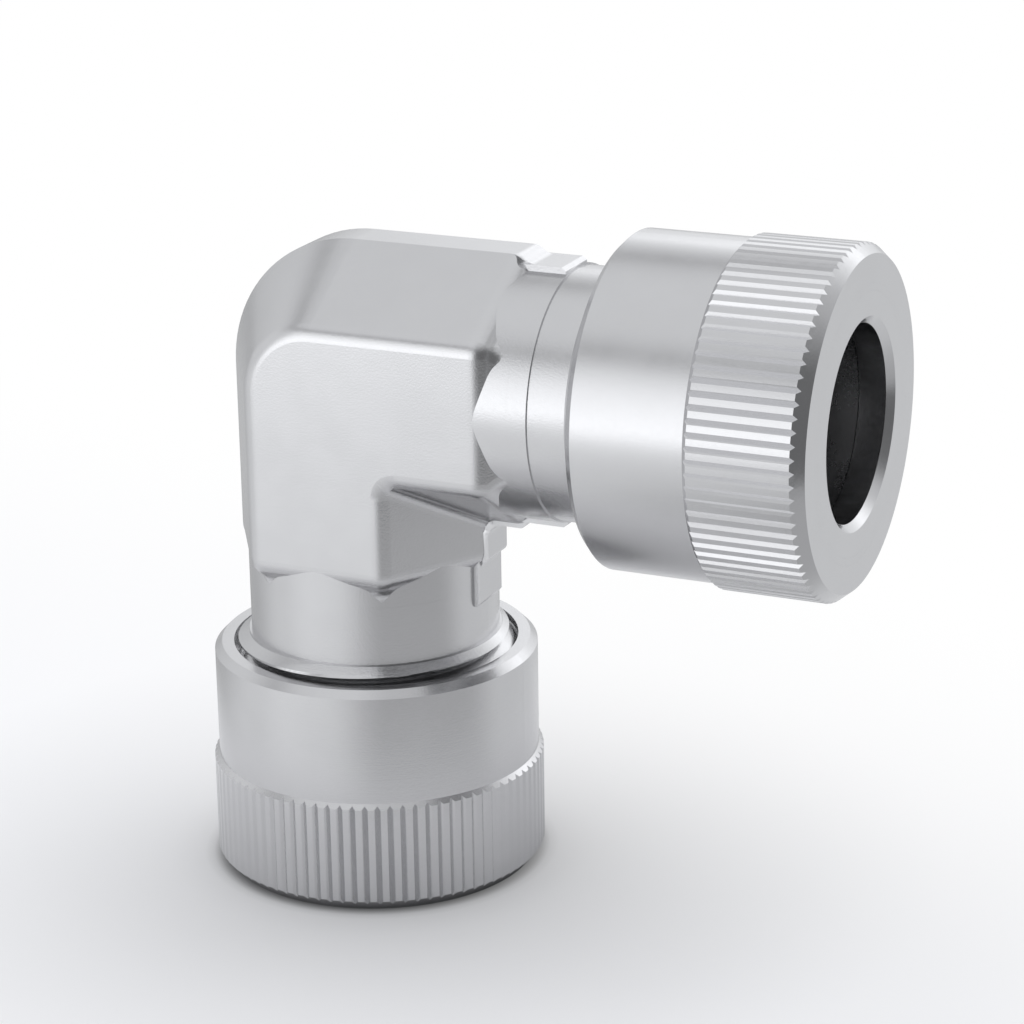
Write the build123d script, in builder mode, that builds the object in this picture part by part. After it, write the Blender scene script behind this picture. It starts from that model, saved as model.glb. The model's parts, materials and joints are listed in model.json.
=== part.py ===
from build123d import *
import os
from math import atan2, cos, degrees, hypot, radians, sin, sqrt, tan

# Union elbow for 12.7 mm tube, in millimetres.
# The origin is the centre of the lower nut's end face, +Z is up, the side arm points along +X
# and the front flat of the block faces -Y. Both arms are alike, and a distance along an arm is
# counted from the elbow's centre outwards.

# Tube and passage
tube_diameter = 12.7
tube_clearance = 0.15
passage_diameter = 10.3
socket_depth = 9.5

# Arms
arm_length = 34.8
running_clearance = 0.08

# Forged block: six sides round each arm, cut off by a parting band in the plane of the arms
flat_distance = 8.6
outer_corner = 4.83
long_edge_radius = 1.3
crotch_radius = 1.0
block_straight = 11.38
block_length = 13.65
block_end_radius = 1.5

# Parting band, drafted on the inside of the bend, where it is wider at its foot
band_height = 9.36
band_half_width = 1.5
band_foot_half_width = 1.76

# The band falls off in a slope to a pad along each neck, steeper on the inside of the bend
outer_fall = (12.07, 12.65)
outer_fall_radius = 0.95
inner_fall = (12.0, 12.25)
inner_fall_radius = 0.45
core_height = 8.5
core_run_out = 1.4
core_edge_radius = 0.6

# Pads with sloping ends: the one on the outside of the lower arm is longer than the others
pad_height = 8.8
pad_half_width = 1.75
pad_length = 15.0
pad_end_slope = 0.3
outer_pad_lengths = {"lower": 16.5, "side": pad_length}
outer_pad_slopes = {"lower": 0.5, "side": pad_end_slope}

# Necks, with a step on the side arm's
neck_radius = 8.57
step_place = 15.38
turned_radius = 8.45

# Thread, drawn at its root on the body and at its crest in the nut
thread_diameter = 19.05
thread_pitch = 1.27
thread_start = 18.1
thread_end_chamfer = 0.3

# Nuts
nut_length = 15.8
knurl_diameter = 23.0
knurl_length = 7.82
smooth_diameter = 22.34
groove_count = 84
groove_depth = 0.215
end_face_radius = 10.85
end_chamfer_length = 0.79
rear_chamfer = 0.5
mouth_diameter = 19.68
mouth_depth = 0.5
hole_chamfer = 0.48
end_wall = 2.3
undercut_depth = 0.5
undercut_length = 0.9

# Seal and ferrule
seal_inner_diameter = 12.6
seal_section = 1.78
seal_gap = 0.02
gland_clearance = 0.12
thrust_gap = 0.05
flange_thickness = 1.4
nose_length = 0.8
nose_clearance = 0.1
squeeze_travel = 0.6
ferrule_chamfer = 0.25

# Cutting shapes reach this far past what they cut, and edges are picked to within this distance
overcut = 1.0
near = 0.001

# Values that follow from the sizes above
bore_radius = (tube_diameter + tube_clearance) / 2
passage_radius = passage_diameter / 2
inner_corner = flat_distance * tan(radians(30))
inner_height = (2 * flat_distance - band_half_width) * tan(radians(30))
band_foot_height = (2 * flat_distance - band_foot_half_width) * tan(radians(30))
corner_cut = long_edge_radius * (1 / cos(radians(30)) - 1)
end_drop = flat_distance - (neck_radius + corner_cut) * cos(radians(30))
slope_run = flat_distance - band_half_width
slope_rise = band_height - outer_corner
outer_distance = (outer_corner * slope_run + flat_distance * slope_rise) / hypot(slope_run, slope_rise)
outer_angle = degrees(atan2(slope_rise, slope_run))
crest_radius = thread_diameter / 2
root_radius = crest_radius - 0.6134 * thread_pitch
nut_bore_radius = root_radius + running_clearance
knurl_radius = knurl_diameter / 2
smooth_radius = smooth_diameter / 2
mouth_radius = mouth_diameter / 2
nut_rear = arm_length - nut_length
knurl_end = arm_length - knurl_length
shoulder = arm_length - end_wall
flange_back = shoulder - thrust_gap
flange_front = flange_back - flange_thickness
nose_front = flange_front - nose_length
ferrule_radius = nut_bore_radius - running_clearance
section_radius = seal_section / 2
seal_radius = seal_inner_diameter / 2 + section_radius
seal_centre = nose_front - seal_gap - section_radius
gland_radius = seal_radius + section_radius + gland_clearance
nose_radius = gland_radius - nose_clearance
seat_root = seal_centre - (seal_radius - bore_radius) - (section_radius + seal_gap) * sqrt(2)
seat_end = seat_root + gland_radius - bore_radius
body_end = flange_front - squeeze_travel
tube_stop = seat_root - socket_depth

# Each arm has a plane across it, with x towards the outside of the bend, a plane along it, with
# x as the radius and y as the distance along the arm, and an axis that points out of its end
centre = (0, 0, arm_length)
arms = {
    "lower": (
        Plane(origin=centre, x_dir=(-1, 0, 0), z_dir=(0, 0, -1)),
        Plane(origin=centre, x_dir=(1, 0, 0), z_dir=(0, 1, 0)),
        Axis(centre, (0, 0, -1)),
    ),
    "side": (
        Plane(origin=centre, x_dir=(0, 0, 1), z_dir=(1, 0, 0)),
        Plane(origin=centre, x_dir=(0, 0, 1), z_dir=(0, 1, 0)),
        Axis(centre, (1, 0, 0)),
    ),
}
front_view = Plane(origin=centre, x_dir=(1, 0, 0), z_dir=(0, -1, 0))

# Half of a block's section, from the outer side of the band round the flat to the inner side
outer_half = [(band_height, band_half_width), (outer_corner, flat_distance)]
inner_half = [(-inner_corner, flat_distance), (-inner_height, band_half_width)]


def mirrored(points):
    # The same points on the other side of the plane of the arms, in turned order
    return [(x, -y) for x, y in reversed(points)]


def run_out(across, angle, height, start, length, drop, radius):
    # What stands above an S-shaped profile at the end of one side of a block
    turn = degrees(2 * atan2(drop, length))
    foot_radius = length / sin(radians(turn)) - radius
    normal = across.x_dir * cos(radians(angle)) + across.y_dir * sin(radians(angle))
    with BuildSketch(Plane(origin=centre, x_dir=normal, z_dir=normal.cross(across.z_dir))) as profile:
        with BuildLine():
            shoulder_arc = JernArc((height, start), (0, 1), radius, turn)
            foot_arc = JernArc(shoulder_arc @ 1, shoulder_arc % 1, foot_radius, -turn)
            Polyline(
                foot_arc @ 1,
                (height - drop, block_length + overcut),
                (height + overcut, block_length + overcut),
                (height + overcut, start),
                (height, start),
            )
        make_face()
    return extrude(profile.sketch, amount=height, both=True, mode=Mode.PRIVATE)


def is_fall_corner(corner, fall, side):
    # A corner of the band's outline, on one side of an arm, where it begins or ends its fall
    places = ((corner.X, corner.Y), (-corner.Y, -corner.X))
    return any(
        side * height > 0 and min(abs(place - fall[0]), abs(place - fall[1])) < near
        for place, height in places
    )


def is_long_edge(edge):
    # An edge of a flat along an arm, or the S-shaped corner beside it down to the neck
    first, middle, last = edge @ 0, edge @ 0.5, edge @ 1
    off_flat = max(abs(abs(first.Y) - flat_distance), abs(abs(last.Y) - flat_distance))
    reaches = (
        (middle.X, abs(first.X - last.X)),
        (arm_length - middle.Z, abs(first.Z - last.Z)),
    )
    if off_flat < near:
        return max(reach for reach, run in reaches) < block_straight - near
    if abs(middle.Y) < flat_distance / 2 or abs(edge.tangent_at(0.5).Y) > sin(radians(50)):
        return False
    return any(reach > block_straight and run > long_edge_radius / 20 for reach, run in reaches)


# Elbow body: one forging, turned and threaded at both ends
with BuildPart() as elbow_body:
    # Blocks of both arms, and the outside of the bend swept round the elbow's centre
    for across, along, outward in arms.values():
        with BuildSketch(across):
            Polygon(*outer_half, *inner_half, *mirrored(inner_half), *mirrored(outer_half), align=None)
        extrude(amount=block_length)
    with BuildSketch(arms["side"][0]):
        Polygon(*outer_half, (0, flat_distance), (0, -flat_distance), *mirrored(outer_half), align=None)
    revolve(axis=Axis(centre, (0, -1, 0)), revolution_arc=90)

    # Rounded crotch, where the inner sides of both blocks meet
    mitre = Plane(origin=centre, z_dir=(1, 0, 1))
    in_mitre = [e for e in elbow_body.edges() if abs(mitre.to_local_coords(e @ 0).Z) < near]
    in_mitre = [e for e in in_mitre if abs(mitre.to_local_coords(e @ 1).Z) < near]
    fillet([e for e in in_mitre if (e @ 0.5).X > near], crotch_radius)

    # Drafted walls of the band inside the bend
    draft = [(-band_foot_height, band_foot_half_width), (-band_height, band_half_width)]
    for across, along, outward in arms.values():
        with BuildSketch(across):
            Polygon((0, band_foot_half_width), *draft, *mirrored(draft), (0, -band_foot_half_width), align=None)
        extrude(amount=block_straight)

    # The sides run out to the necks
    for across, along, outward in arms.values():
        sides = [(90, flat_distance), (150, flat_distance), (outer_angle, outer_distance)]
        for angle, distance in sides:
            profile = (distance, block_straight, block_length - block_straight, end_drop, block_end_radius)
            for side in (angle, -angle):
                add(run_out(across, side, *profile), mode=Mode.SUBTRACT)
        profile = (band_height, block_straight, core_run_out, band_height - core_height, core_edge_radius)
        for side in (0, 180):
            add(run_out(across, side, *profile), mode=Mode.SUBTRACT)

    # Rounded long edges of the flats, carried on down the corners of the run-outs
    fillet([edge for edge in elbow_body.edges() if is_long_edge(edge)], long_edge_radius)

    # Parting band round both arms
    with BuildSketch(front_view) as band:
        Circle(band_height)
        for flipped in (False, True):
            outline = [
                (0, band_height),
                (outer_fall[0], band_height),
                (outer_fall[1], pad_height),
                (block_length, pad_height),
                (block_length, -pad_height),
                (inner_fall[1], -pad_height),
                (inner_fall[0], -band_height),
                (0, -band_height),
            ]
            Polygon(*[(-y, -x) if flipped else (x, y) for x, y in outline], align=None)
        falls = ((outer_fall, 1, outer_fall_radius), (inner_fall, -1, inner_fall_radius))
        for fall, side, radius in falls:
            fillet([corner for corner in band.vertices() if is_fall_corner(corner, fall, side)], radius)
        in_crotch = Vector(band_height, -band_height)
        fillet(band.vertices().sort_by_distance(in_crotch)[0], crotch_radius)
    extrude(amount=band_half_width, both=True)

    # Pads along the necks
    for name, (across, along, outward) in arms.items():
        outer_end = outer_pad_lengths[name] + outer_pad_slopes[name]
        inner_end = pad_length + pad_end_slope
        with BuildSketch(Plane(origin=centre, x_dir=across.x_dir, z_dir=across.x_dir.cross(across.z_dir))):
            Polygon(
                (pad_height, 0),
                (pad_height, outer_pad_lengths[name]),
                (neck_radius, outer_end),
                (0, outer_end),
                (0, inner_end),
                (-neck_radius, inner_end),
                (-pad_height, pad_length),
                (-pad_height, 0),
                align=None,
            )
        extrude(amount=pad_half_width, both=True)

    # Necks, and ends at the root of their thread
    for across, along, outward in arms.values():
        with BuildSketch(along):
            Polygon(
                (0, 0),
                (neck_radius, 0),
                (neck_radius, thread_start),
                (root_radius, thread_start),
                (root_radius, body_end - thread_end_chamfer),
                (root_radius - thread_end_chamfer, body_end),
                (0, body_end),
                align=None,
            )
        revolve(axis=outward)

    # The neck of the side arm is turned down a little from its step to its thread
    across, along, outward = arms["side"]
    with BuildSketch(along):
        Polygon(
            (turned_radius, step_place),
            (neck_radius + overcut, step_place),
            (neck_radius + overcut, thread_start),
            (turned_radius, thread_start),
            align=None,
        )
    revolve(axis=outward, mode=Mode.SUBTRACT)

    # Passage, tube sockets and seal seats
    with Locations(centre):
        Sphere(passage_radius, mode=Mode.SUBTRACT)
    for across, along, outward in arms.values():
        with BuildSketch(along):
            Polygon(
                (0, 0),
                (passage_radius, 0),
                (passage_radius, tube_stop),
                (bore_radius, tube_stop),
                (bore_radius, seat_root),
                (gland_radius, seat_end),
                (gland_radius, body_end),
                (0, body_end),
                align=None,
            )
        revolve(axis=outward, mode=Mode.SUBTRACT)

os.makedirs("parts", exist_ok=True)
elbow_body.part.label = "elbow_body"
export_step(elbow_body.part, "parts/elbow_body.step")

for name, (across, along, outward) in arms.items():
    # Nut: knurled at its end, smooth behind, with its shoulder inside the end wall
    with BuildPart() as nut:
        with BuildSketch(along):
            Polygon(
                (bore_radius + hole_chamfer, arm_length),
                (end_face_radius, arm_length),
                (knurl_radius, arm_length - end_chamfer_length),
                (knurl_radius, knurl_end + knurl_radius - smooth_radius),
                (smooth_radius, knurl_end),
                (smooth_radius, nut_rear + rear_chamfer),
                (smooth_radius - rear_chamfer, nut_rear),
                (mouth_radius, nut_rear),
                (mouth_radius, nut_rear + mouth_depth),
                (nut_bore_radius, nut_rear + mouth_depth + mouth_radius - nut_bore_radius),
                (nut_bore_radius, shoulder - undercut_length),
                (nut_bore_radius + undercut_depth, shoulder - undercut_length),
                (nut_bore_radius + undercut_depth, shoulder),
                (bore_radius, shoulder),
                (bore_radius, arm_length - hole_chamfer),
                align=None,
            )
        revolve(axis=outward)
        with BuildSketch(across.offset(arm_length)):
            with PolarLocations(knurl_radius, groove_count):
                Polygon(
                    (-groove_depth, 0),
                    (overcut, overcut + groove_depth),
                    (overcut, -overcut - groove_depth),
                    align=None,
                )
        extrude(amount=-knurl_length, mode=Mode.SUBTRACT)
    nut.part.label = f"{name}_nut"
    export_step(nut.part, f"parts/{name}_nut.step")

    # Ferrule: its flange is pushed by the nut, its nose squeezes the seal
    with BuildPart() as ferrule:
        with BuildSketch(along):
            Polygon(
                (bore_radius, nose_front),
                (nose_radius, nose_front),
                (nose_radius, flange_front),
                (ferrule_radius, flange_front),
                (ferrule_radius, flange_back),
                (bore_radius, flange_back),
                align=None,
            )
        revolve(axis=outward)
        circles = ferrule.edges().filter_by(GeomType.CIRCLE)
        chamfer([rim for rim in circles if rim.radius > ferrule_radius - near], ferrule_chamfer)
    ferrule.part.label = f"{name}_ferrule"
    export_step(ferrule.part, f"parts/{name}_ferrule.step")

    # O-ring on its conical seat
    with BuildPart() as o_ring:
        with BuildSketch(along):
            with Locations((seal_radius, seal_centre)):
                Circle(section_radius)
        revolve(axis=outward)
    o_ring.part.label = f"{name}_o_ring"
    export_step(o_ring.part, f"parts/{name}_o_ring.step")
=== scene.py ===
import json
from math import cos, pi, radians, sin, tan

import bmesh
import bpy
from mathutils import Matrix, Vector


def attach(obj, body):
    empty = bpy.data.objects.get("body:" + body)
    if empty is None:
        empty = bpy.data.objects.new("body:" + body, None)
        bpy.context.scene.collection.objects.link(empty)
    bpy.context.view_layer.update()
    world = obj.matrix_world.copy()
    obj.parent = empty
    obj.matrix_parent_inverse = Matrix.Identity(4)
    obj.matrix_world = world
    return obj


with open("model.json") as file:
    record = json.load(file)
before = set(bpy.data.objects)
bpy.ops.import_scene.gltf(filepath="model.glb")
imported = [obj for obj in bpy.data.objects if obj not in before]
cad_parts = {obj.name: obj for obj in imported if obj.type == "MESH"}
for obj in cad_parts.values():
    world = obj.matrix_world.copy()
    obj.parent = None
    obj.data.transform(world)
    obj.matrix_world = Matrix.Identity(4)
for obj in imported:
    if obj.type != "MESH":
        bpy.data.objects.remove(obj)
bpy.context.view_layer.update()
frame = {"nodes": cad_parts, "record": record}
nodes = frame["nodes"]

MM = 0.001
RIGHT = Vector((1, 0, 0))
BACK = Vector((0, 1, 0))
UP = Vector((0, 0, 1))

# Camera at the photograph's viewing angle, for a square image
CAMERA_AZIMUTH = radians(24.5357)
CAMERA_ELEVATION = radians(18.533)
CAMERA_ROLL = radians(-0.8667)
CAMERA_PLACE = Vector((94.2139, -183.4819, 93.5727)) * MM
SENSOR_WIDTH = 36.0
FOCAL_LENGTH = 111.66
CLIP_START = 0.01
CLIP_END = 20

# Both arms' axes meet this far above the floor, and places along an arm are counted from there
ARM_LENGTH = 34.8 * MM

# Thread on the body's arms. Its crests are cut off by a cone at each end
THREAD_PITCH = 1.27 * MM
THREAD_CREST = 9.525 * MM
THREAD_DEPTH = 0.6134 * THREAD_PITCH
THREAD_ROOT = THREAD_CREST - THREAD_DEPTH
THREAD_START = 18.1 * MM
THREAD_END = 30.45 * MM
LEAD_IN_SLOPE = THREAD_DEPTH / (0.52 * MM)
CHAMFER_SLOPE = THREAD_DEPTH / (0.55 * MM)
THREAD_LIFT = 0.006 * MM
FIRST_CREST_END = 18.62 * MM
FLANK_ANGLE = radians(30)
FLANK_WIDTH = THREAD_DEPTH * tan(FLANK_ANGLE)
CREST_WIDTH = THREAD_PITCH / 8
ROOT_WIDTH = THREAD_PITCH - 2 * FLANK_WIDTH - CREST_WIDTH
CREST_FINISH = ROOT_WIDTH + FLANK_WIDTH + CREST_WIDTH
FLANK_STEPS = 5
TURN_STEPS = 144
SAME_PLACE = 0.0001 * MM


def make_camera():
    back = Vector((
        sin(CAMERA_AZIMUTH) * cos(CAMERA_ELEVATION),
        -cos(CAMERA_AZIMUTH) * cos(CAMERA_ELEVATION),
        sin(CAMERA_ELEVATION),
    ))
    level = Vector((cos(CAMERA_AZIMUTH), sin(CAMERA_AZIMUTH), 0))
    above = back.cross(level)
    right = cos(CAMERA_ROLL) * level + sin(CAMERA_ROLL) * above
    up = cos(CAMERA_ROLL) * above - sin(CAMERA_ROLL) * level
    turn = Matrix((right, up, back)).transposed().to_4x4()
    data = bpy.data.cameras.new("camera")
    data.sensor_width = SENSOR_WIDTH
    data.lens = FOCAL_LENGTH
    data.clip_start = CLIP_START
    data.clip_end = CLIP_END
    camera = bpy.data.objects.new("camera", data)
    camera.matrix_world = Matrix.Translation(CAMERA_PLACE) @ turn
    bpy.context.scene.collection.objects.link(camera)
    bpy.context.scene.camera = camera


class Nodes:
    # A node tree and short ways to add nodes to it and link them

    def __init__(self, tree):
        self.tree = tree
        tree.nodes.clear()

    def add(self, kind, **values):
        node = self.tree.nodes.new(kind)
        for name, value in values.items():
            if name in node.inputs:
                self.put(node.inputs[name], value)
            else:
                setattr(node, name, value)
        return node

    def put(self, socket, value):
        # A socket takes a constant or another node's output
        if isinstance(value, bpy.types.NodeSocket):
            self.tree.links.new(value, socket)
        else:
            socket.default_value = value

    def math(self, operation, first, second=0.0):
        node = self.tree.nodes.new("ShaderNodeMath")
        node.operation = operation
        self.put(node.inputs[0], first)
        self.put(node.inputs[1], second)
        return node.outputs[0]

    def vector(self, operation, first, second=(0, 0, 0)):
        node = self.tree.nodes.new("ShaderNodeVectorMath")
        node.operation = operation
        self.put(node.inputs[0], first)
        self.put(node.inputs[1], second)
        return node.outputs["Value" if operation in ("LENGTH", "DOT_PRODUCT") else "Vector"]

    def scale(self, vector, factor):
        node = self.tree.nodes.new("ShaderNodeVectorMath")
        node.operation = "SCALE"
        self.put(node.inputs[0], vector)
        self.put(node.inputs["Scale"], factor)
        return node.outputs["Vector"]

    def between(self, value, low, high, out_low=0.0, out_high=1.0):
        # A soft step from out_low to out_high as value goes from low to high
        node = self.tree.nodes.new("ShaderNodeMapRange")
        node.interpolation_type = "SMOOTHSTEP"
        self.put(node.inputs["Value"], value)
        self.put(node.inputs["From Min"], low)
        self.put(node.inputs["From Max"], high)
        self.put(node.inputs["To Min"], out_low)
        self.put(node.inputs["To Max"], out_high)
        return node.outputs["Result"]

    def blend(self, share, first, second):
        # Goes from first to second as share goes from 0 to 1
        from_first = self.math("MULTIPLY", self.math("SUBTRACT", 1.0, share), first)
        from_second = self.math("MULTIPLY", share, second)
        return self.math("ADD", from_first, from_second)

    def ramp(self, source, stops):
        # Grey levels from (place, level) stops
        node = self.tree.nodes.new("ShaderNodeValToRGB")
        elements = node.color_ramp.elements
        while len(elements) < len(stops):
            elements.new(0.5)
        for element, (place, level) in zip(elements, stops):
            element.position = place
            element.color = (level, level, level, 1)
        self.put(node.inputs[0], source)
        return node.outputs[0]

    def mix(self, share, first, second):
        # Goes from one shader to the other as share goes from 0 to 1
        node = self.tree.nodes.new("ShaderNodeMixShader")
        self.put(node.inputs[0], share)
        self.put(node.inputs[1], first.outputs[0])
        self.put(node.inputs[2], second.outputs[0])
        return node


# Studio, in radiance. Azimuths go from the front, which is -Y, to the right, in degrees.
# Each screen is (azimuth, half width, softness of its edge), and what follows it is its
# (elevation, radiance) or, for the dark side, (elevation, share)
CEILING_SHIFT = (0, 0.1, 0)
CEILING = (
    (0, 0.65), (10, 0.70), (27, 0.80), (35, 0.80), (40, 0.71),
    (46, 0.55), (51, 0.80), (56, 0.91), (62, 0.94), (90, 0.94),
)
FRONT_SCREEN = (-20, 25, 13)
FRONT_GAIN = (
    (0, 0.87), (11, 0.68), (17, 0.56), (22, 0.43),
    (27, 0.29), (32, 0.16), (38, 0.0), (90, 0.0),
)
BACK_SCREEN = (168, 38, 14)
BACK_GAIN = (
    (0, 0.30), (8, 0.40), (15, 0.52), (20, 0.75), (25, 1.05),
    (31, 0.60), (38, 0.28), (50, 0.0), (90, 0.0),
)
LEFT_SCREEN = (-62, 50, 28)
LEFT_GAIN = ((0, 0.27), (27, 0.15), (45, 0.0), (90, 0.0))
DARK_SIDE = (58, 40, 14)
DARK_SHARE = (
    (0, 1.0), (31, 1.0), (40, 0.55), (48, 0.30),
    (70, 0.27), (78, 0.0), (90, 0.0),
)
DARK_LEVEL = 0.20
STUDIO_TINT = (0.975, 0.985, 1.0)
WHITE = (1, 1, 1, 1)

# Soft box overhead, which lights the scene but isn't mirrored in the metal
OVERHEAD_SIDE = 0.9
OVERHEAD_HEIGHT = 0.6
OVERHEAD_POWER = 1.2


def facing(n, direction, screen):
    # 1 where a direction lies within a screen's width, whatever its elevation
    azimuth, half_width, softness = screen
    centre = (sin(radians(azimuth)), -cos(radians(azimuth)), 0)
    level = n.vector("NORMALIZE", n.vector("MULTIPLY", direction, (1, 1, 0)))
    angle = n.math("ARCCOSINE", n.vector("DOT_PRODUCT", level, centre))
    inner = radians(half_width - softness)
    outer = radians(half_width + softness)
    return n.between(angle, inner, outer, 1.0, 0.0)


def by_elevation(n, direction, stops):
    # Levels from (elevation, level) stops, with elevations in degrees
    height = n.add("ShaderNodeSeparateXYZ", Vector=n.vector("NORMALIZE", direction)).outputs["Z"]
    elevation = n.math("DIVIDE", n.math("ARCSINE", height), pi / 2)
    return n.ramp(elevation, [(degrees / 90, level) for degrees, level in stops])


def make_world():
    world = bpy.data.worlds.new("studio")
    bpy.context.scene.world = world
    world.use_nodes = True
    n = Nodes(world.node_tree)
    direction = n.add("ShaderNodeTexCoord").outputs["Generated"]
    radiance = by_elevation(n, n.vector("ADD", direction, CEILING_SHIFT), CEILING)
    screens = ((FRONT_SCREEN, FRONT_GAIN), (BACK_SCREEN, BACK_GAIN), (LEFT_SCREEN, LEFT_GAIN))
    for screen, gain in screens:
        part = n.math("MULTIPLY", facing(n, direction, screen), by_elevation(n, direction, gain))
        radiance = n.math("ADD", radiance, part)
    dark = n.math("MULTIPLY", facing(n, direction, DARK_SIDE), by_elevation(n, direction, DARK_SHARE))
    radiance = n.blend(dark, radiance, DARK_LEVEL)
    studio = n.add("ShaderNodeBackground", Color=(*STUDIO_TINT, 1), Strength=radiance)
    white = n.add("ShaderNodeBackground", Color=WHITE, Strength=1.0)
    seen = n.add("ShaderNodeLightPath").outputs["Is Camera Ray"]
    n.add("ShaderNodeOutputWorld", Surface=n.mix(seen, studio, white).outputs[0])


def make_overhead():
    data = bpy.data.lights.new("overhead", "AREA")
    data.size = OVERHEAD_SIDE
    data.energy = OVERHEAD_POWER
    overhead = bpy.data.objects.new("overhead", data)
    overhead.location = OVERHEAD_HEIGHT * UP
    overhead.visible_glossy = False
    bpy.context.scene.collection.objects.link(overhead)


# Floor: lengths are distances from the lower arm's axis, in metres
FLOOR_RADIUS = 3.0
FLOOR_STEPS = 96
FLOOR_COLOUR = (0.935, 0.935, 0.95)

# Painted contact shadow on the paper near the nut that stands on it, as levels that darken the paper's
# colour: (distance in mm, level)
PAINTED_CONTACT_SHADOW = (
    (0, 0.25), (10.9, 0.25), (11.4, 0.43), (11.9, 0.71),
    (12.5, 0.80), (15, 0.84), (25, 0.91), (40, 1.0),
)

# Floor as the metal reflects it: paper up to the first distance, and a glow from the second one
# on, which goes from its near level to its far one
REFLECTED_START = 0.022
REFLECTED_FULL = 0.045
FAR_START = 0.05
FAR_FULL = 0.32
NEAR_LEVEL = 0.80
NEAR_LEFT_GAIN = 0.12
NEAR_FRONT_GAIN = 0.12
FAR_LEVEL = 0.70
FAR_FRONT_GAIN = 0.87
FAR_BACK_GAIN = 0.10
FAR_LEFT_GAIN = 0.27
DARK_START = 0.095
DARK_FULL = 0.14
NEAR_DARK_LEVEL = 0.56
DIM_CORNER = (-132, 48, 22)
DIM_CORNER_LOSS = 0.18
DIM_CORNER_NEAR_LOSS = 0.31
DIM_CORNER_NEAR_END = 0.10

# Floor as the camera sees it: white behind the object, and far off on all sides
WHITE_DIRECTION = (0.25, 1, 0)
WHITE_START = -0.02
WHITE_FULL = 0.07
WHITE_FAR_START = 0.08
WHITE_FAR_FULL = 0.2


def floor_object():
    verts = []
    for step in range(FLOOR_STEPS):
        angle = 2 * pi * step / FLOOR_STEPS
        verts.append((FLOOR_RADIUS * cos(angle), FLOOR_RADIUS * sin(angle), 0))
    mesh = bpy.data.meshes.new("floor")
    mesh.from_pydata(verts, [], [tuple(range(FLOOR_STEPS))])
    floor = bpy.data.objects.new("floor", mesh)
    bpy.context.scene.collection.objects.link(floor)
    return floor


def floor_glow(n, place, distance):
    # The floor goes on from the paper as the studio's screens do, with its own dark side and dim corner
    left = facing(n, place, LEFT_SCREEN)
    front = facing(n, place, FRONT_SCREEN)
    back = facing(n, place, BACK_SCREEN)
    near_left = n.math("MULTIPLY", left, NEAR_LEFT_GAIN)
    near_front = n.math("MULTIPLY", front, NEAR_FRONT_GAIN)
    near_level = n.math("ADD", n.math("ADD", near_left, near_front), NEAR_LEVEL)
    far_front = n.math("MULTIPLY", front, FAR_FRONT_GAIN)
    far_back = n.math("MULTIPLY", back, FAR_BACK_GAIN)
    far_left = n.math("MULTIPLY", left, FAR_LEFT_GAIN)
    far_level = n.math("ADD", n.math("ADD", far_front, far_back), n.math("ADD", far_left, FAR_LEVEL))
    far = n.between(distance, FAR_START, FAR_FULL)
    near_end = (REFLECTED_FULL, DIM_CORNER_NEAR_END)
    loss = n.between(distance, *near_end, DIM_CORNER_NEAR_LOSS, DIM_CORNER_LOSS)
    dim = n.math("MULTIPLY", facing(n, place, DIM_CORNER), loss)
    light_level = n.math("SUBTRACT", n.blend(far, near_level, far_level), dim)
    dark_level = n.blend(n.between(distance, DARK_START, DARK_FULL), NEAR_DARK_LEVEL, DARK_LEVEL)
    strength = n.blend(facing(n, place, DARK_SIDE), light_level, dark_level)
    return n.add("ShaderNodeEmission", Color=(*STUDIO_TINT, 1), Strength=strength)


def paper_with_painted_shadow(n, distance):
    # Plain paper with a painted contact shadow: its colour is a little darker where the nut stands on it
    reach = PAINTED_CONTACT_SHADOW[-1][0]
    stops = [(place / reach, level) for place, level in PAINTED_CONTACT_SHADOW]
    # Painted shadow: the paper's colour itself is darkened near the nut, by distance from the lower arm's
    # axis
    painted_shadow = n.ramp(n.math("DIVIDE", distance, reach * MM), stops)
    return n.add("ShaderNodeBsdfDiffuse", Color=n.vector("MULTIPLY", FLOOR_COLOUR, painted_shadow))


def make_floor():
    floor = floor_object()
    material = bpy.data.materials.new("floor")
    material.use_nodes = True
    floor.data.materials.append(material)
    n = Nodes(material.node_tree)
    place = n.add("ShaderNodeTexCoord").outputs["Object"]
    distance = n.vector("LENGTH", place)
    path = n.add("ShaderNodeLightPath")
    beyond_paper = n.between(distance, REFLECTED_START, REFLECTED_FULL)
    reflected = n.math("MULTIPLY", path.outputs["Is Glossy Ray"], beyond_paper)
    behind = n.between(n.vector("DOT_PRODUCT", place, WHITE_DIRECTION), WHITE_START, WHITE_FULL)
    far_off = n.between(distance, WHITE_FAR_START, WHITE_FAR_FULL)
    seen = n.math("MULTIPLY", path.outputs["Is Camera Ray"], n.math("MAXIMUM", behind, far_off))
    white = n.add("ShaderNodeEmission", Color=WHITE, Strength=1.0)
    lit = n.mix(reflected, paper_with_painted_shadow(n, distance), floor_glow(n, place, distance))
    n.add("ShaderNodeOutputMaterial", Surface=n.mix(seen, lit, white).outputs[0])


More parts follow.
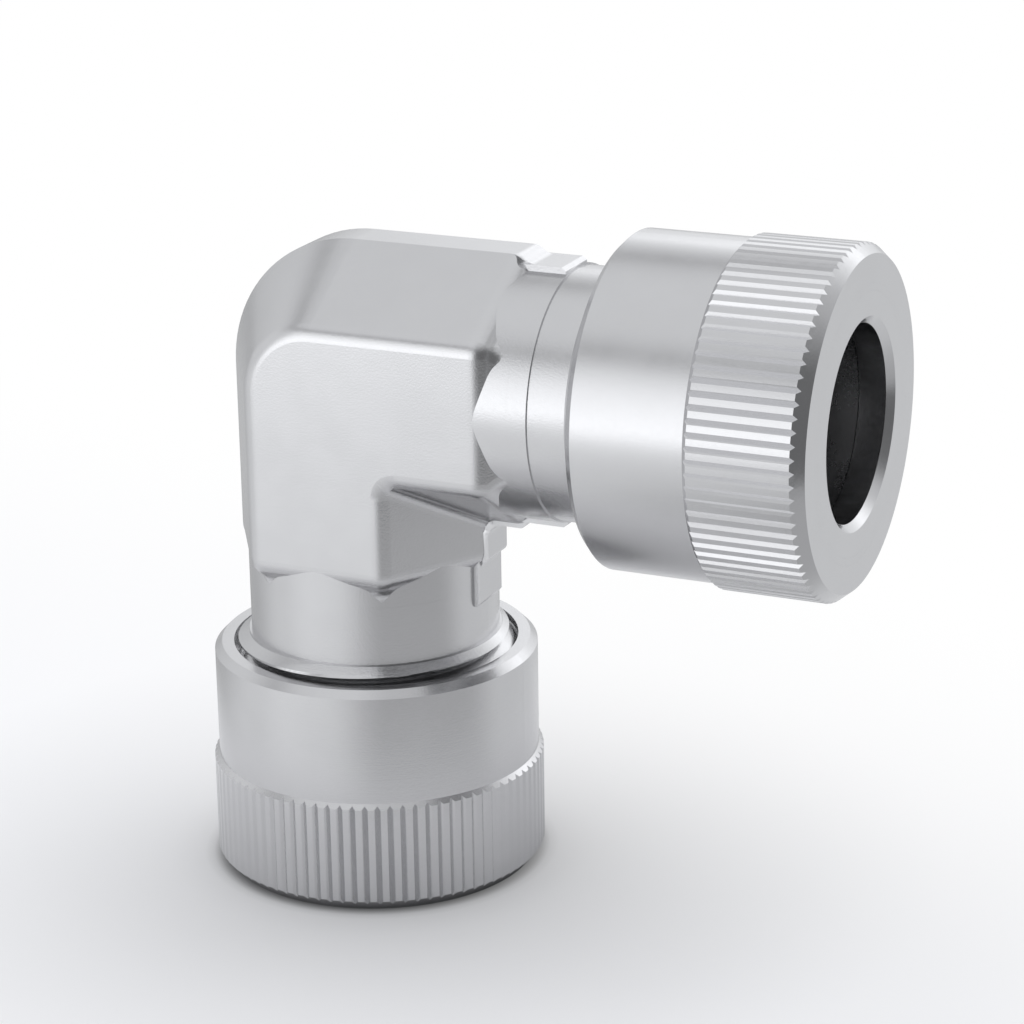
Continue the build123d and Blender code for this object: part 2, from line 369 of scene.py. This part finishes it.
# Metal and rubber. Sizes of marks are in metres, and so are their heights
METAL = 1.0
NO_METAL = 0.0
STEEL_COLOUR = (0.60, 0.60, 0.61)
FERRULE_COLOUR = (0.52, 0.52, 0.53)
RUBBER_COLOUR = (0.018, 0.018, 0.02)
BODY_ROUGHNESS = (0.205, 0.235)
NUT_ROUGHNESS = (0.20, 0.225)
FERRULE_ROUGHNESS = (0.24, 0.30)
RUBBER_ROUGHNESS = (0.48, 0.58)
COLOUR_CHANGE = 0.012
BLOTCH_SIZE = 3.0 * MM
BLOTCH_DETAIL = 3.0
BLOTCH_SPAN = (0.3, 0.7)
SPECKLE_SIZE = 0.26 * MM
SPECKLE_SPAN = (0.35, 0.65)
SPECKLE_ROUGHNESS = 0.015
GRAIN_SIZE = 0.13 * MM
GRAIN_HEIGHT = 0.008 * MM
NUT_GRAIN_SHARE = 0.4
RUBBER_GRAIN_SHARE = 0.2
FINE_MARK_SIZE = 0.07 * MM
FINE_MARK_DETAIL = 1.0
FINE_MARK_HEIGHT = 0.0010 * MM
COARSE_MARK_SIZE = 0.35 * MM
COARSE_MARK_HEIGHT = 0.0012 * MM
FERRULE_MARK_SHARE = 0.5
INNER_THREAD_FROM = 8.5 * MM
INNER_THREAD_TO = 9.0 * MM
INNER_THREAD_HEIGHT = 0.15 * MM
SIDE_ARM_FROM = 14.0 * MM
LOWER_ARM_TO = ARM_LENGTH - 14.0 * MM


class Surface(Nodes):
    # A material's nodes, with places given along and across the nearer arm

    def __init__(self, name):
        self.material = bpy.data.materials.new(name)
        self.material.use_nodes = True
        super().__init__(self.material.node_tree)
        self.place = self.add("ShaderNodeTexCoord").outputs["Object"]
        xyz = self.add("ShaderNodeSeparateXYZ", Vector=self.place).outputs
        height = self.math("SUBTRACT", xyz["Z"], ARM_LENGTH)
        self.on_side_arm = self.math("GREATER_THAN", xyz["X"], SIDE_ARM_FROM)
        self.on_lower_arm = self.math("LESS_THAN", xyz["Z"], LOWER_ARM_TO)
        self.along = self.blend(self.on_side_arm, height, xyz["X"])
        self.across = self.blend(self.on_side_arm, xyz["X"], height)
        self.third = xyz["Y"]
        across_square = self.math("POWER", self.across, 2.0)
        third_square = self.math("POWER", self.third, 2.0)
        self.radius = self.math("SQRT", self.math("ADD", across_square, third_square))

    def noise(self, size, detail=2.0, vector=None):
        vector = vector or self.place
        return self.add("ShaderNodeTexNoise", Scale=1 / size, Detail=detail, Vector=vector).outputs["Fac"]

    def grain(self, share=1.0):
        return self.math("MULTIPLY", self.noise(GRAIN_SIZE), GRAIN_HEIGHT * share)

    def turned(self):
        # Rings left by turning: they change along the arm and across it, but not round it
        rings = self.add("ShaderNodeCombineXYZ", X=self.along, Y=self.radius).outputs["Vector"]
        fine = self.noise(FINE_MARK_SIZE, FINE_MARK_DETAIL, rings)
        coarse = self.noise(COARSE_MARK_SIZE, vector=rings)
        fine_height = self.math("MULTIPLY", fine, FINE_MARK_HEIGHT)
        coarse_height = self.math("MULTIPLY", coarse, COARSE_MARK_HEIGHT)
        return self.math("ADD", fine_height, coarse_height)

    def inner_thread(self):
        # The nut's own thread, on the wall of its bore
        turn = self.math("DIVIDE", self.math("ARCTAN2", self.across, self.third), 2 * pi)
        phase = self.math("ADD", self.math("DIVIDE", self.along, THREAD_PITCH), turn)
        wave = self.math("PINGPONG", phase, 0.5)
        beyond = self.math("GREATER_THAN", self.radius, INNER_THREAD_FROM)
        inside = self.math("MULTIPLY", beyond, self.math("LESS_THAN", self.radius, INNER_THREAD_TO))
        return self.math("MULTIPLY", self.math("MULTIPLY", wave, inside), INNER_THREAD_HEIGHT)

    def finish(self, colour, metallic, roughness_span, height):
        # Colour and roughness change a little in blotches, and roughness in speckles too
        blotches = self.noise(BLOTCH_SIZE, BLOTCH_DETAIL)
        tone = self.between(blotches, *BLOTCH_SPAN, 1 - COLOUR_CHANGE, 1 + COLOUR_CHANGE)
        speckle = self.noise(SPECKLE_SIZE)
        fine = self.between(speckle, *SPECKLE_SPAN, -SPECKLE_ROUGHNESS, SPECKLE_ROUGHNESS)
        roughness = self.math("ADD", self.between(blotches, *BLOTCH_SPAN, *roughness_span), fine)
        bump = self.add("ShaderNodeBump", Height=height, Distance=1.0, Strength=1.0)
        shader = self.add(
            "ShaderNodeBsdfPrincipled",
            Metallic=metallic,
            Roughness=roughness,
            Normal=bump.outputs[0],
        )
        self.put(shader.inputs["Base Color"], self.scale(colour, tone))
        self.add("ShaderNodeOutputMaterial", Surface=shader.outputs[0])
        return self.material


def body_steel():
    # Satin all over, with turned marks on the arms
    s = Surface("body_steel")
    on_arms = s.math("MAXIMUM", s.on_side_arm, s.on_lower_arm)
    height = s.math("ADD", s.grain(), s.math("MULTIPLY", s.turned(), on_arms))
    return s.finish(STEEL_COLOUR, METAL, BODY_ROUGHNESS, height)


def nut_steel():
    # Turned, with a finer grain than the body's and its own thread inside
    s = Surface("nut_steel")
    marks = s.math("ADD", s.turned(), s.inner_thread())
    return s.finish(STEEL_COLOUR, METAL, NUT_ROUGHNESS, s.math("ADD", s.grain(NUT_GRAIN_SHARE), marks))


def ferrule_steel():
    s = Surface("ferrule_steel")
    height = s.math("MULTIPLY", s.turned(), FERRULE_MARK_SHARE)
    return s.finish(FERRULE_COLOUR, METAL, FERRULE_ROUGHNESS, height)


def seal_rubber():
    s = Surface("seal_rubber")
    return s.finish(RUBBER_COLOUR, NO_METAL, RUBBER_ROUGHNESS, s.grain(RUBBER_GRAIN_SHARE))


def thread_profile():
    # Corners of one pitch as (place, radius): flat root, flank up, flat crest, flank down
    profile = [(0.0, THREAD_ROOT)]
    for step in range(FLANK_STEPS + 1):
        share = step / FLANK_STEPS
        profile.append((ROOT_WIDTH + FLANK_WIDTH * share, THREAD_ROOT + THREAD_DEPTH * share))
    for step in range(FLANK_STEPS):
        share = step / FLANK_STEPS
        profile.append((CREST_FINISH + FLANK_WIDTH * share, THREAD_CREST - THREAD_DEPTH * share))
    return profile


def thread_radius(place, radius):
    # The cones at the thread's ends run down to its root
    lead_in = THREAD_ROOT + (place - THREAD_START) * LEAD_IN_SLOPE
    chamfer = THREAD_ROOT + (THREAD_END - place) * CHAMFER_SLOPE
    return min(radius, lead_in, chamfer) + THREAD_LIFT


def thread_points(profile, along, across, third):
    # Points in rows, and how far out along the arm each one is. A row follows a corner of the
    # profile once round the arm, and the first crest ends at its place where it faces the camera.
    # As (across, third, along) is a left-handed set of axes, angles fall as the thread goes out
    front = CAMERA_AZIMUTH - pi / 2
    first = FIRST_CREST_END - CREST_FINISH - THREAD_PITCH
    turns = int((THREAD_END - first) / THREAD_PITCH) + 2
    points = []
    places = []
    for turn in range(turns):
        for offset, radius in profile:
            for step in range(TURN_STEPS):
                turned = step / TURN_STEPS
                place = first + (turn + turned) * THREAD_PITCH + offset
                place = min(max(place, THREAD_START), THREAD_END)
                angle = front - 2 * pi * turned
                spoke = cos(angle) * across + sin(angle) * third
                points.append(ARM_LENGTH * UP + along * place + thread_radius(place, radius) * spoke)
                places.append(place)
    return points, places


def thread_faces(places, rows_per_turn):
    # Corners of the faces between neighbouring rows, without those beyond the thread's ends
    faces = []
    for here in range(len(places) - TURN_STEPS):
        beside = here + 1
        if here % TURN_STEPS == TURN_STEPS - 1:
            # The last step of a row joins the first step of the same row one turn further on
            beside += (rows_per_turn - 1) * TURN_STEPS
        corners = (here, beside, beside + TURN_STEPS, here + TURN_STEPS)
        if beside + TURN_STEPS >= len(places):
            continue
        reach = [places[corner] for corner in corners]
        if max(reach) > THREAD_START + SAME_PLACE and min(reach) < THREAD_END - SAME_PLACE:
            faces.append(corners)
    return faces


def make_thread(name, along, across, third, material):
    # A right-hand thread round one arm
    profile = thread_profile()
    points, places = thread_points(profile, along, across, third)
    mesh = bmesh.new()
    verts = [mesh.verts.new(point) for point in points]
    for corners in thread_faces(places, len(profile)):
        mesh.faces.new([verts[corner] for corner in corners])
    bmesh.ops.remove_doubles(mesh, verts=mesh.verts, dist=SAME_PLACE)
    loose = [vert for vert in mesh.verts if not vert.link_faces]
    bmesh.ops.delete(mesh, geom=loose, context="VERTS")
    data = bpy.data.meshes.new(name)
    mesh.to_mesh(data)
    mesh.free()
    data.materials.append(material)
    thread = bpy.data.objects.new(name, data)
    bpy.context.scene.collection.objects.link(thread)
    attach(thread, "elbow")


def dress():
    # Each piece of the CAD model gets the material of its slot
    materials = {
        "body_steel": body_steel(),
        "nut_steel": nut_steel(),
        "ferrule_steel": ferrule_steel(),
        "seal_rubber": seal_rubber(),
    }
    for part in frame["record"]["subparts"]:
        node = nodes[part["node"]]
        node.data.materials.clear()
        node.data.materials.append(materials[part["material_slot"]])
    return materials


make_camera()
make_world()
make_overhead()
make_floor()
materials = dress()
make_thread("lower_thread", -UP, RIGHT, BACK, materials["body_steel"])
make_thread("side_thread", RIGHT, UP, BACK, materials["body_steel"])
bpy.context.scene.view_settings.view_transform = "Standard"
